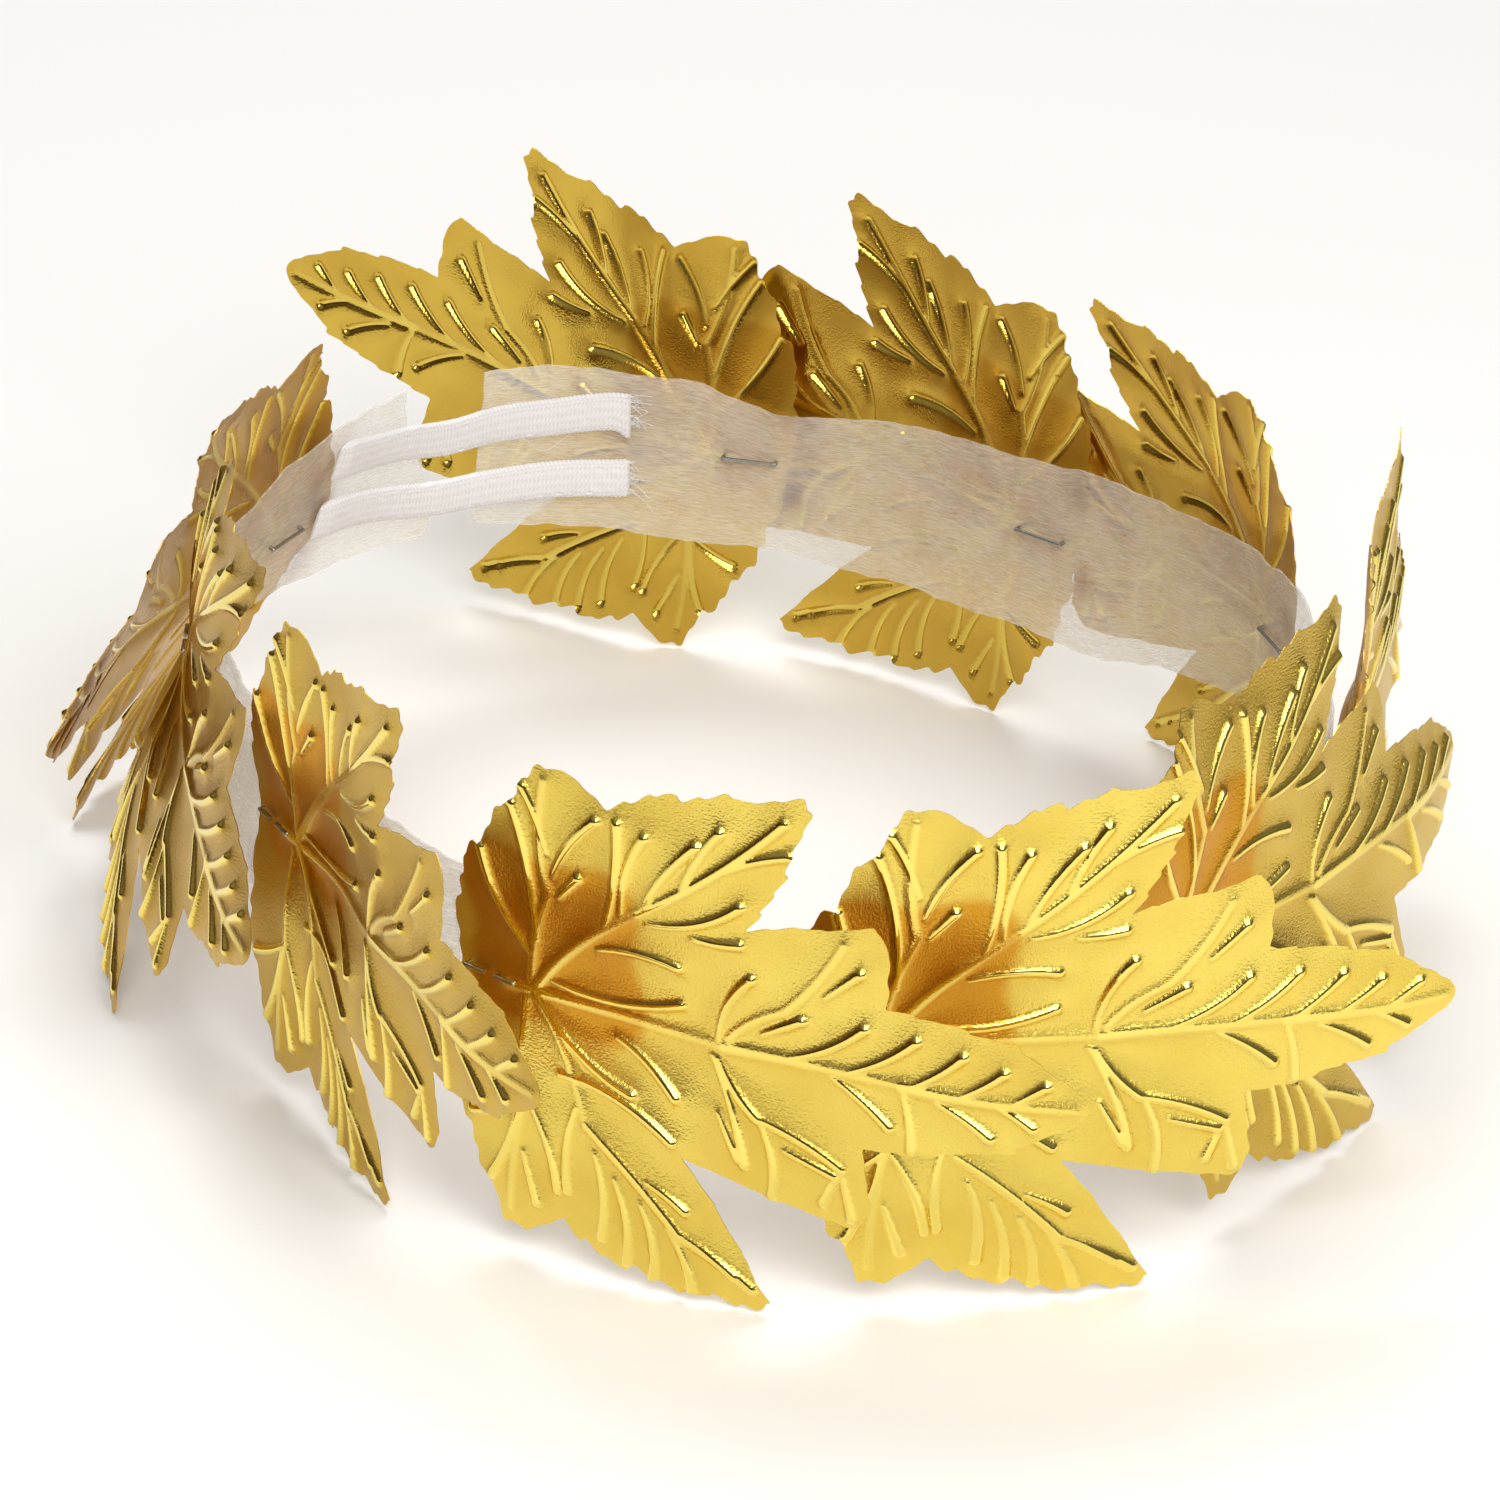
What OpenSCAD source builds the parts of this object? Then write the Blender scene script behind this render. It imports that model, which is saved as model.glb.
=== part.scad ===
// Party laurel wreath: ten embossed foil leaves stapled round a soft fabric band,
// which two elastic straps close at the back of the head.
// Millimetres. The crown lies on z = 0 with +Z up, the brow at -Y and the straps at +Y.

/* [Ring] */
// Width of the oval ring from temple to temple, outside the band
ring_w = 168; // [140:1:200]
// Length of the oval ring from brow to back, outside the band
ring_l = 210; // [180:1:240]

/* [Row of leaves] */
// Angle on the oval of the first leaf's vein root
first_at = 122; // [118:1:126]
// Angle on the oval from one leaf to the next
leaf_pitch = 34; // [33:0.5:35]
// Angle by which a leaf turns away from the band
leaf_flare = 5; // [0:1:10]
// Angle by which a leaf bends round the head from its root to its tip
leaf_curl = 25; // [15:1:30]

/* [Leaf] */
// Length from the vein root to the middle tip
leaf_l = 84; // [70:1:96]
// Height across the two side tips
leaf_w = 80; // [64:1:92]
// Height of a tooth on the leaf's edge
tooth_h = 1.5; // [0.5:0.5:2.5]
// Thickness of the embossed foil
foil_t = 0.5; // [0.3:0.1:0.8]
// Depth of the trough pressed along the root of a leaf
trough_d = 3; // [0:0.5:5]
// Half width of the trough
trough_w = 12; // [8:1:16]
// Length over which the trough fades out towards the tip
trough_fade = 40; // [25:1:60]
// Length over which a leaf turns away from the band
turn_l = 24; // [16:1:32]

/* [Band] */
// Height of the fabric band
band_h = 30; // [22:1:40]
// Thickness of the fabric band
band_t = 1; // [1:0.1:1.6]
// Width of the opening between the band's two ends
back_gap = 11; // [8:1:20]
// How far the opening sits from the middle between the last leaf and the first
back_off = 3; // [0:1:5]

/* [Straps] */
// Height of one elastic strap
strap_h = 6.5; // [4:0.5:9]
// Thickness of one elastic strap
strap_t = 1.2; // [1:0.1:2]
// Distance between the middles of the two straps
strap_pitch = 12; // [10:0.5:14]
// How far the straps end short of the last leaf's staple
strap_short_last = 16; // [8:1:20]
// How far the straps end short of the first leaf's staple
strap_short_first = 3; // [2:1:6]

/* [Staples] */
// Length of a staple's crown
staple_w = 9.5; // [7:0.5:12]
// Diameter of the staple wire
wire_d = 0.7; // [0.5:0.1:0.9]
// Length of the tips that are bent over behind the leaf
clinch_l = 3.5; // [2.5:0.1:4]
// How far back the staple stands, from the vein root to the leaf's rear edge (per cent)
staple_back = 55; // [50:1:58]

/* [Fit] */
// Gap between pieces that lie on each other
lay_gap = 0.3; // [0.2:0.05:0.5]
// Gap round a staple leg in its hole
hole_gap = 0.15; // [0.1:0.05:0.3]

/* [Hidden] */
// Columns of the table of bends, and of the rows for the leaves that it gives
SHIFT = 0;
AT = 0;
INSET = 1;
LEAN = 2;
TILT = 3;
FLARE = 4;
CURL = 5;
PIN = 6;
// How each leaf departs from an even row, leaf by leaf round the ring: its shift ahead (per cent
// of leaf_pitch), how far the soft ring is pushed in there (per cent of ring_w), then in degrees
// the lean of its top outwards, the tilt of its tip upwards, more flare and more curl, and how much
// further ahead its staple stands (per cent of the way from the vein root to the leaf's rear edge)
bends = [
    [0, 1, -20, 0, 0, 0, 50],
    [0, 1, -15, -5, 0, 0, 0],
    [0, 3, 0, 0, 15, 0, 0],
    [-5, 0, 0, 0, 0, 0, 0],
    [-10, 0, 0, 0, 0, 0, 0],
    [0, 4, -10, 0, 10, 15, 0],
    [10, 0, 0, 0, 20, 0, 0],
    [5, -3, -10, 0, -5, 5, 0],
    [-5, 1, 0, 10, 0, 0, 0],
    [-5, 0, 0, 10, 25, -20, 0],
];
function leaf_at(i) = first_at + leaf_pitch * (i + bends[i][SHIFT] / 100);
leaves = [for (i = [0 : len(bends) - 1]) concat([leaf_at(i)], [for (c = [INSET : PIN]) bends[i][c]])];
last_leaf = len(leaves) - 1;

// Corners of a leaf's edge from the middle tip over the top, round the root and back below: how
// far ahead of the vein root (per cent of leaf_l) and above it (per cent of leaf_w / 2), the
// teeth on the edge to the next corner, and how far that edge bows out (per cent of its length)
UP = 1;
TEETH = 2;
BOW = 3;
corners = [
    [100, 0, 1, 0],
    [88, 20, 2, 5],
    [65, 28, 1, 0],
    [63, 58, 2, 0],
    [40, 48, 2, 8],
    [50, 100, 3, 5],
    [15, 84, 1, 0],
    [3, 94, 3, 5],
    [-15, 30, 1, 0],
    [-17, 0, 1, 0],
    [-15, -30, 3, 5],
    [-2, -94, 1, 0],
    [8, -86, 3, 5],
    [46, -100, 3, 10],
    [30, -48, 1, 0],
    [61, -62, 1, 5],
    [62, -28, 2, 5],
    [88, -18, 1, 0],
];
// Where a tooth's tip stands on the tooth, as a share from its end that is nearer the lobe's tip
tooth_lean = 0.3;
// The point that all rays of a leaf's mesh start from, and the shares of a ray at its rings
heart = [5, 0];
ray_shares = [0.12, 0.3, 0.6, 1];
// Steps of the sum that follows a leaf's bend
bend_steps = 12;

// Sections of the band: angle, middle above the band's level and height (per cent of band_h)
band_rows = [
    [90, 5, 110],
    [150, 0, 100],
    [350, 0, 100],
    [380, -15, 105],
    [405, -20, 95],
    [418, -20, 85],
    [430, -10, 95],
    [460, 5, 100],
];
LEVEL = 1;
HEIGHT = 2;
band_steps = 96;

// The rise of each strap from where it starts to where it ends (per cent of strap_pitch)
strap_rows = [[60, -5], [95, 0], [118, 40]];
RISE = 1;
strap_steps = 18;
strap_round = 0.35;

// The rows of the leaves run on past both ends of the ring
function turned_row(row, turn) = concat([row[AT] + turn], [for (c = [INSET : PIN]) row[c]]);
ring_rows = concat([turned_row(leaves[last_leaf], -360)], leaves, [turned_row(leaves[0], 360)]);

function ease(x) = let (s = min(max(x, 0), 1)) s * s * (3 - 2 * s);
function unit(v) = v / norm(v);
function mean(list) = [for (v = list) 1] * list / len(list);
function turned(v, a) = [v[0] * cos(a) - v[1] * sin(a), v[0] * sin(a) + v[1] * cos(a)];
function outward(along) = [along[1], -along[0]];

// The value of a column at an angle, eased from row to row
function eased(rows, column, t) =
    let (k = max([for (i = [0 : len(rows) - 2]) if (i == 0 || rows[i][AT] <= t) i]))
    let (a = rows[k], b = rows[k + 1])
    a[column] + (b[column] - a[column]) * ease((t - a[AT]) / (b[AT] - a[AT]));

// The ring: the band's outer face seen from above
function ring(t) =
    let (on_oval = [ring_w / 2 * cos(t), ring_l / 2 * sin(t)])
    let (out = unit([ring_l * cos(t), ring_w * sin(t)]))
    on_oval - out * eased(ring_rows, INSET, t) / 100 * ring_w;
function ring_step(t) = ring(t + 0.5) - ring(t - 0.5);
function ring_lean(t) = eased(ring_rows, LEAN, t);

// A point beside the ring: t round it, out from the band's outer face, up along its lean
function beside_ring(t, out, up, level) =
    let (n = outward(unit(ring_step(t))), lean = ring_lean(t), p = ring(t))
    let (flat = p + n * (out * cos(lean) + up * sin(lean)))
    [flat[0], flat[1], level + up * cos(lean) - out * sin(lean)];

// What every point of one leaf needs: its row, root, direction and the ring's mm per degree
seat = lay_gap + foil_t / 2;
function leaf_base(i) =
    let (row = leaves[i], step = ring_step(row[AT]), along = unit(step))
    [row, ring(row[AT]) + outward(along) * seat, along, norm(step)];

// Plan point and direction of a leaf's middle line at u: behind its root it follows the ring
function leaf_behind(base, u) =
    let (t = base[0][AT] + u / base[3], along = unit(ring_step(t)))
    [ring(t) + outward(along) * seat, along];
function leaf_dir(base, u) =
    let (curl = leaf_curl + base[0][CURL], flare = leaf_flare + base[0][FLARE])
    turned(base[2], curl * u / leaf_l - flare * ease(u / turn_l));
function leaf_ahead(base, u) =
    let (dirs = [for (k = [0 : bend_steps - 1]) leaf_dir(base, u * (k + 0.5) / bend_steps)])
    [base[1] + mean(dirs) * u, leaf_dir(base, u)];

// A point of a leaf, from its flat place in mm and its distance out from the foil's middle,
// with the height of the leaf's root above the band's level
function leaf_point(base, flat, out, above = 0) =
    let (row = base[0], place = turned(flat, row[TILT]), u = place[0], v = place[1])
    let (line = u < 0 ? leaf_behind(base, u) : leaf_ahead(base, u), n = outward(line[1]))
    let (fade = 1 - ease((u - trough_w) / trough_fade))
    let (raised = trough_d * fade * (1 - exp(-pow(v / trough_w, 2))) + out)
    let (leant = v * sin(row[LEAN]) + above * tan(row[LEAN]))
    let (plan = line[0] + n * (raised * cos(row[LEAN]) + leant))
    [plan[0], plan[1], v * cos(row[LEAN]) - raised * sin(row[LEAN])];

function flat_place(shares) = [shares[0] / 100 * leaf_l, shares[UP] / 100 * leaf_w / 2];

// The edge of a leaf from a corner to the next: the foot and the tip of each of its teeth,
// bowed and toothed straight out from the heart
function toothed(corner, next) =
    let (from = flat_place(corner), way = flat_place(next) - from, middle = flat_place(heart))
    let (rising = norm(from + way - middle) > norm(from - middle), n = corner[TEETH])
    let (tip = rising ? 1 - tooth_lean : tooth_lean)
    [
        for (k = [0 : n - 1], part = [0, tip])
            let (s = (k + part) / n, place = from + way * s)
            let (bow = corner[BOW] / 100 * norm(way) * 4 * s * (1 - s))
            place + unit(place - middle) * (bow + (part == 0 ? 0 : tooth_h))
    ];
outline = [for (i = [0 : len(corners) - 1]) each toothed(corners[i], corners[(i + 1) % len(corners)])];

// Height of a leaf's root when its lowest tip stands on the ground
function leaf_foot(base) =
    -min([for (p = outline, side = [-1, 1]) leaf_point(base, p, side * foil_t / 2)[2]]);

bases = [for (i = [0 : last_leaf]) leaf_base(i)];
feet = [for (base = bases) leaf_foot(base)];
band_level = mean(feet);

// Where a leaf's staple and the opening at the back stand on the oval
rear = -min([for (corner = corners) flat_place(corner)[0]]);
function staple_at(i) = leaves[i][AT] - (staple_back - leaves[i][PIN]) / 100 * rear / bases[i][3];
back_mid = (leaves[0][AT] + leaves[last_leaf][AT] - 360) / 2;
back_at = back_mid + back_off / norm(ring_step(back_mid));

function leaf_name(i) = str("leaf_", i < 9 ? "0" : "", i + 1);
function staple_name(i) = str("staple_", i < 9 ? "0" : "", i + 1);

// Carries its children to a staple's place: x along the ring, y inwards, z up the band
module at_staple(i) {
    t = staple_at(i);
    along = ring_step(t);
    p = beside_ring(t, 0, (feet[i] - band_level) / cos(ring_lean(t)), band_level);
    translate(p)
        rotate([0, 0, atan2(along[1], along[0])])
            rotate([ring_lean(t), 0, 0])
                children();
}

leg_x = (staple_w - wire_d) / 2;
crown_y = band_t + lay_gap + wire_d / 2;
clinch_y = -(lay_gap + foil_t + lay_gap + wire_d / 2);

// The two holes of a staple, through the band and the leaf
module staple_holes(i) {
    hole_l = 2 * (crown_y - clinch_y);
    at_staple(i)
        for (side = [-1, 1])
            translate([side * leg_x, 0, 0])
                rotate([90, 0, 0])
                    cylinder(h = hole_l, d = wire_d + 2 * hole_gap, center = true, $fn = 16);
}

// One foil leaf: two skins of rays from its heart, joined round the rim
module leaf(i) {
    n = len(outline);
    rings = len(ray_shares);
    skin = 1 + n * rings;
    middle = flat_place(heart);
    flat = concat([middle], [for (share = ray_shares, p = outline) middle + (p - middle) * share]);
    above = feet[i] - band_level;
    points = [
        for (side = [1, -1], p = flat)
            leaf_point(bases[i], p, side * foil_t / 2, above) + [0, 0, feet[i]]
    ];
    function at(ring, j) = 1 + ring * n + j % n;
    outer = concat(
        [for (j = [0 : n - 1]) [0, at(0, j + 1), at(0, j)]],
        [for (r = [0 : rings - 2], j = [0 : n - 1]) [at(r, j), at(r, j + 1), at(r + 1, j)]],
        [for (r = [0 : rings - 2], j = [0 : n - 1]) [at(r, j + 1), at(r + 1, j + 1), at(r + 1, j)]]
    );
    inner = [for (f = outer) [f[2] + skin, f[1] + skin, f[0] + skin]];
    last = rings - 1;
    edge_low = [for (j = [0 : n - 1]) [at(last, j), at(last, j + 1), at(last, j) + skin]];
    edge_high = [for (j = [0 : n - 1]) [at(last, j + 1), at(last, j + 1) + skin, at(last, j) + skin]];
    color("gold")
        difference() {
            polyhedron(points, concat(outer, inner, edge_low, edge_high), convexity = 6);
            staple_holes(i);
        }
}

// Joins closed sections of equal length into one solid
module swept(sections) {
    n = len(sections[0]);
    last = len(sections) - 1;
    points = [for (s = sections, p = s) p];
    sides = [
        for (k = [0 : last - 1], j = [0 : n - 1], half = [0, 1])
            let (a = k * n + j, b = k * n + (j + 1) % n)
            half == 0 ? [a, b, a + n] : [b, b + n, a + n]
    ];
    start = [[for (j = [n - 1 : -1 : 0]) j]];
    end = [[for (j = [0 : n - 1]) last * n + j]];
    polyhedron(points, concat(sides, start, end), convexity = 10);
}

// The angle reached by going a length along the ring from where the band opens
function from_back(length) = back_at + length / norm(ring_step(back_at));
band_start = from_back(back_gap / 2);
band_end = from_back(-back_gap / 2) + 360;

function band_section(t) =
    let (middle = eased(band_rows, LEVEL, t) / 100 * band_h)
    let (half = eased(band_rows, HEIGHT, t) / 100 * band_h / 2)
    let (corners = [[0, -half], [0, half], [-band_t, half], [-band_t, -half]])
    [for (c = corners) beside_ring(t, c[0], middle + c[1], band_level)];

// The soft band, open at the back
module band() {
    sections = [for (k = [0 : band_steps]) band_section(band_start + (band_end - band_start) * k / band_steps)];
    color("gainsboro")
        difference() {
            swept(sections);
            for (i = [0 : last_leaf]) staple_holes(i);
        }
}

// A staple: crown inside the band, legs through it, tips bent over behind the leaf
module staple(i) {
    color("silver")
        at_staple(i) {
            translate([0, crown_y, 0]) rotate([0, 90, 0])
                cylinder(h = 2 * leg_x, d = wire_d, center = true, $fn = 16);
            for (side = [-1, 1]) {
                translate([side * leg_x, clinch_y, 0]) rotate([-90, 0, 0])
                    cylinder(h = crown_y - clinch_y, d = wire_d, $fn = 16);
                translate([side * leg_x, crown_y, 0]) sphere(d = wire_d, $fn = 16);
                translate([side * leg_x, clinch_y, 0]) sphere(d = wire_d, $fn = 16);
                translate([side * leg_x, clinch_y, 0]) rotate([0, -side * 90, 0])
                    cylinder(h = clinch_l, d = wire_d, $fn = 16);
            }
        }
}

// One elastic strap inside the band's ends, above (side = 1) or below (side = -1)
module strap(side) {
    last_staple = staple_at(last_leaf) - 360;
    first = last_staple + (staple_w / 2 + strap_short_last) / norm(ring_step(last_staple));
    last = staple_at(0) - (staple_w / 2 + strap_short_first) / norm(ring_step(staple_at(0)));
    far = -(band_t + lay_gap + strap_t);
    near = -(band_t + lay_gap);
    round_h = strap_h * (1 - strap_round) / 2;
    round_t = strap_t * strap_round;
    corners = [
        [near - round_t, -strap_h / 2], [near, -round_h], [near, round_h], [near - round_t, strap_h / 2],
        [far + round_t, strap_h / 2], [far, round_h], [far, -round_h], [far + round_t, -strap_h / 2],
    ];
    sections = [
        for (k = [0 : strap_steps])
            let (t = first + (last - first) * k / strap_steps)
            let (up = side * strap_pitch / 2 + eased(strap_rows, RISE, t) / 100 * strap_pitch)
            [for (c = corners) beside_ring(t, c[0], c[1] + up, band_level)]
    ];
    color("whitesmoke") swept(sections);
}

band();
for (i = [0 : last_leaf]) {
    leaf(i);
    staple(i);
}
strap(1);  // upper_strap
strap(-1);  // lower_strap
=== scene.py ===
"""Dresses the laurel wreath crown: ten embossed foil leaves stapled round a soft non-woven band, which two
knitted elastics close at the back of the head. Sizes are millimetres until a mesh is placed in metres."""

import logging
import math
from dataclasses import dataclass
from enum import Enum
from typing import Sequence

import bpy
import numpy as np
from mathutils import Matrix, Vector
from mathutils.geometry import delaunay_2d_cdt


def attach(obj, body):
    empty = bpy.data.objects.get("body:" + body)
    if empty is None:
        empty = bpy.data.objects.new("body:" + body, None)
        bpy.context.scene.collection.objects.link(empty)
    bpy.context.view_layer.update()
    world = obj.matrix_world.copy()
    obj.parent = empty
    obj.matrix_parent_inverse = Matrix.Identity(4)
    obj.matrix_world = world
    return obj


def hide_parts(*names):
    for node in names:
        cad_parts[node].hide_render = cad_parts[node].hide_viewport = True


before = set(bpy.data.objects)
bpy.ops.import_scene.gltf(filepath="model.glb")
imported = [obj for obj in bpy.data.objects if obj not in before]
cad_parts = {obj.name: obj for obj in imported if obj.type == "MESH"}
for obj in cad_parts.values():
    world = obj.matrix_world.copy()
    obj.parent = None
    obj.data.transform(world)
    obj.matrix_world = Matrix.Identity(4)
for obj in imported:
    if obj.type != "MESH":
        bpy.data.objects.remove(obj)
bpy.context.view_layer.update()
LOG = logging.getLogger("wreath")
MM = 0.001

Array = np.ndarray
Pair = tuple[float, float]
Triple = tuple[float, float, float]
Rows = Sequence[Sequence[float]]
Piece = bpy.types.Object
Material = bpy.types.Material
Owner = bpy.types.Material | bpy.types.World
Node = bpy.types.Node
Socket = bpy.types.NodeSocket

# Settings of a noise that lies on a flat map, and of a mix of two colours
ON_PLANE = {"noise_dimensions": "2D"}
OF_COLOURS = {"data_type": "RGBA"}

# How each leaf departs from an even row, as in the part's source
# Columns: shift, inset, lean, tilt, flare, curl, staple
BENDS = (
    (0, 1, -20, 0, 0, 0, 50),
    (0, 1, -15, -5, 0, 0, 0),
    (0, 3, 0, 0, 15, 0, 0),
    (-5, 0, 0, 0, 0, 0, 0),
    (-10, 0, 0, 0, 0, 0, 0),
    (0, 4, -10, 0, 10, 15, 0),
    (10, 0, 0, 0, 20, 0, 0),
    (5, -3, -10, 0, -5, 5, 0),
    (-5, 1, 0, 10, 0, 0, 0),
    (-5, 0, 0, 10, 25, -20, 0),
)
# Corners of a leaf's edge, as in the source
# Columns: ahead (% of the length), above (% of half the width), teeth, bow (%)
CORNERS = (
    (100, 0, 1, 0),
    (88, 20, 2, 5),
    (65, 28, 1, 0),
    (63, 58, 2, 0),
    (40, 48, 2, 8),
    (50, 100, 3, 5),
    (15, 84, 1, 0),
    (3, 94, 3, 5),
    (-15, 30, 1, 0),
    (-17, 0, 1, 0),
    (-15, -30, 3, 5),
    (-2, -94, 1, 0),
    (8, -86, 3, 5),
    (46, -100, 3, 10),
    (30, -48, 1, 0),
    (61, -62, 1, 5),
    (62, -28, 2, 5),
    (88, -18, 1, 0),
)
# Sections of the band, as in the source: angle, middle above its level, height (% of its height)
BAND_ROWS = (
    (90, 5, 110),
    (150, 0, 100),
    (350, 0, 100),
    (380, -15, 105),
    (405, -20, 95),
    (418, -20, 85),
    (430, -10, 95),
    (460, 5, 100),
)
# The rise of each strap round the ring, as in the source: angle, rise (% of the straps' distance)
STRAP_ROWS = ((60, -5), (95, 0), (118, 40))


class Rib(Enum):
    """The kinds of rib on the die: half width and height in mm, at its start and at its end."""

    AXIS = (1.8, 0.34, 1.3, 0.2)
    VEIN = (1.15, 0.32, 1.2, 0.55)
    STROKE = (0.75, 0.28, 1.15, 0.7)
    RAY = (1.3, 0.28, 1.1, 0.26)


class Side(Enum):
    """The elastics' sides of the band's middle, with the way up to each."""

    UPPER = 1
    LOWER = -1


# The die's ribs by kind, whose places are % of the length ahead and % of half the width above
# Columns: start ahead, start above, end ahead, end above, bow to the left (% of the rib's length)
RIBS = {
    Rib.AXIS: (
        (-6, 0, 36, -1, 0),
        (36, -1, 68, 0, 2),
        (68, 0, 97, 0, -2),
        (0, 2, 21, 46, 4),
        (0, -2, 12, -44, 6),
    ),
    Rib.VEIN: (
        (21, 46, 46, 92, -3),
        (12, -44, 30, -78, 3),
        (30, -78, 43, -94, 3),
        (35, -6, 43, -25, -5),
        (43, -25, 58, -38, 5),
    ),
    Rib.RAY: (
        (-1, 4, 4, 44, 4),
        (4, 44, 3, 88, 5),
        (-2, -4, 0, -40, -4),
        (0, -40, -2, -86, -3),
        (37, 3, 47, 19, 6),
        (47, 19, 57, 50, -4),
    ),
    Rib.STROKE: (
        (3, 6, 28, 11, -8),
        (13, 26, 28, 27, 7),
        (16, -9, 28, -25, 6),
        (4, -11, 20, -28, -6),
        (6, -28, 28, -42, 9),
        (15, 38, 17, 79, -5),
        (18, 44, 22, 76, 7),
        (22, 48, 31, 77, 5),
        (29, 60, 35, 84, 4),
        (35, 68, 47, 80, 5),
        (23, 43, 39, 57, -9),
        (31, 41, 39, 42, -4),
        (6, 44, 10, 54, 0),
        (-1, 16, -9, 54, 5),
        (1, 22, -3, 76, -5),
        (5, 52, 13, 78, 6),
        (4, 60, -1, 84, -3),
        (35, 2, 41, 29, 9),
        (47, 1, 61, 19, -6),
        (58, 1, 70, 18, -5),
        (69, 0, 78, 15, -4),
        (78, 0, 85, 11, -3),
        (87, 0, 92, 8, 0),
        (54, 28, 60, 40, 0),
        (43, 8, 50, 17, 0),
        (34, -5, 41, -44, 5),
        (36, -26, 40, -42, 0),
        (43, -24, 46, -54, 9),
        (48, -35, 57, -41, 0),
        (56, -2, 66, -17, 4),
        (68, -1, 70, -24, 4),
        (74, -4, 83, -15, 4),
        (84, -2, 90, -9, 3),
        (58, -38, 55, -53, 0),
        (58, -38, 60, -57, 0),
        (14, -54, 16, -86, 7),
        (18, -62, 21, -93, 7),
        (23, -69, 26, -97, 7),
        (28, -76, 33, -99, 6),
        (31, -80, 40, -90, 4),
        (24, -60, 31, -68, 4),
        (10, -38, 9, -72, -6),
        (0, -40, -10, -52, 6),
        (-1, -44, -6, -76, 5),
        (1, -42, 7, -73, 6),
        (0, -62, 3, -81, 0),
    ),
}


def ease(x: Array) -> Array:
    """The smooth step from 0 to 1."""
    s = np.clip(x, 0.0, 1.0)
    return s * s * (3 - 2 * s)


def eased(rows: Rows, column: int, angle: Array) -> Array:
    """A table's column, eased from row to row.

    Args:
        rows: The table, whose first column is an angle.
        column: The column to read.
        angle: Angles in degrees.

    Returns:
        The column's value at each angle.
    """
    at = np.array([row[0] for row in rows], float)
    value = np.array([row[column] for row in rows], float)
    k = np.clip(np.searchsorted(at, angle, side="right") - 1, 0, len(at) - 2)
    return value[k] + (value[k + 1] - value[k]) * ease((angle - at[k]) / (at[k + 1] - at[k]))


def unit(v: Array) -> Array:
    """Vectors of length one."""
    return v / np.linalg.norm(v, axis=-1, keepdims=True)


def turned(v: Array, degrees: Array | float) -> Array:
    """Plane vectors turned anticlockwise."""
    c, s = np.cos(np.radians(degrees)), np.sin(np.radians(degrees))
    return np.stack([v[..., 0] * c - v[..., 1] * s, v[..., 0] * s + v[..., 1] * c], -1)


def outward(along: Array) -> Array:
    """The side that faces out of the ring, for a direction along it."""
    return np.stack([along[..., 1], -along[..., 0]], -1)


def linear(hex_colour: str) -> tuple[float, float, float, float]:
    """Turns an sRGB hex colour to linear light.

    Args:
        hex_colour: Six hex digits after a hash mark.

    Returns:
        Red, green, blue and an alpha of one.
    """
    parts = [int(hex_colour[i:i + 2], 16) / 255 for i in (1, 3, 5)]
    r, g, b = (c / 12.92 if c <= 0.04045 else ((c + 0.055) / 1.055) ** 2.4 for c in parts)
    return r, g, b, 1.0


def add_node(owner: Owner, kind: str, settings: dict | None = None, inputs: dict | None = None) -> Node:
    """Adds one shader node with its settings, and its inputs' values or links.

    Args:
        owner: The material or the world to add it to.
        kind: The node's type, without ShaderNode in front.
        settings: Properties of the node.
        inputs: Values, sockets to link, or nodes whose first output is linked, by input name or number.

    Returns:
        The new node.
    """
    node = owner.node_tree.nodes.new("ShaderNode" + kind)
    for name, value in (settings or {}).items():
        setattr(node, name, value)
    for name, value in (inputs or {}).items():
        source = value.outputs[0] if isinstance(value, Node) else value
        if isinstance(source, Socket):
            owner.node_tree.links.new(source, node.inputs[name])
        else:
            node.inputs[name].default_value = source
    return node


def bare_material(name: str) -> Material:
    """An empty node material.

    Args:
        name: The material's name.

    Returns:
        The material, without nodes.
    """
    material = bpy.data.materials.new(name)
    material.use_nodes = True
    material.node_tree.nodes.clear()
    return material


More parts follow.
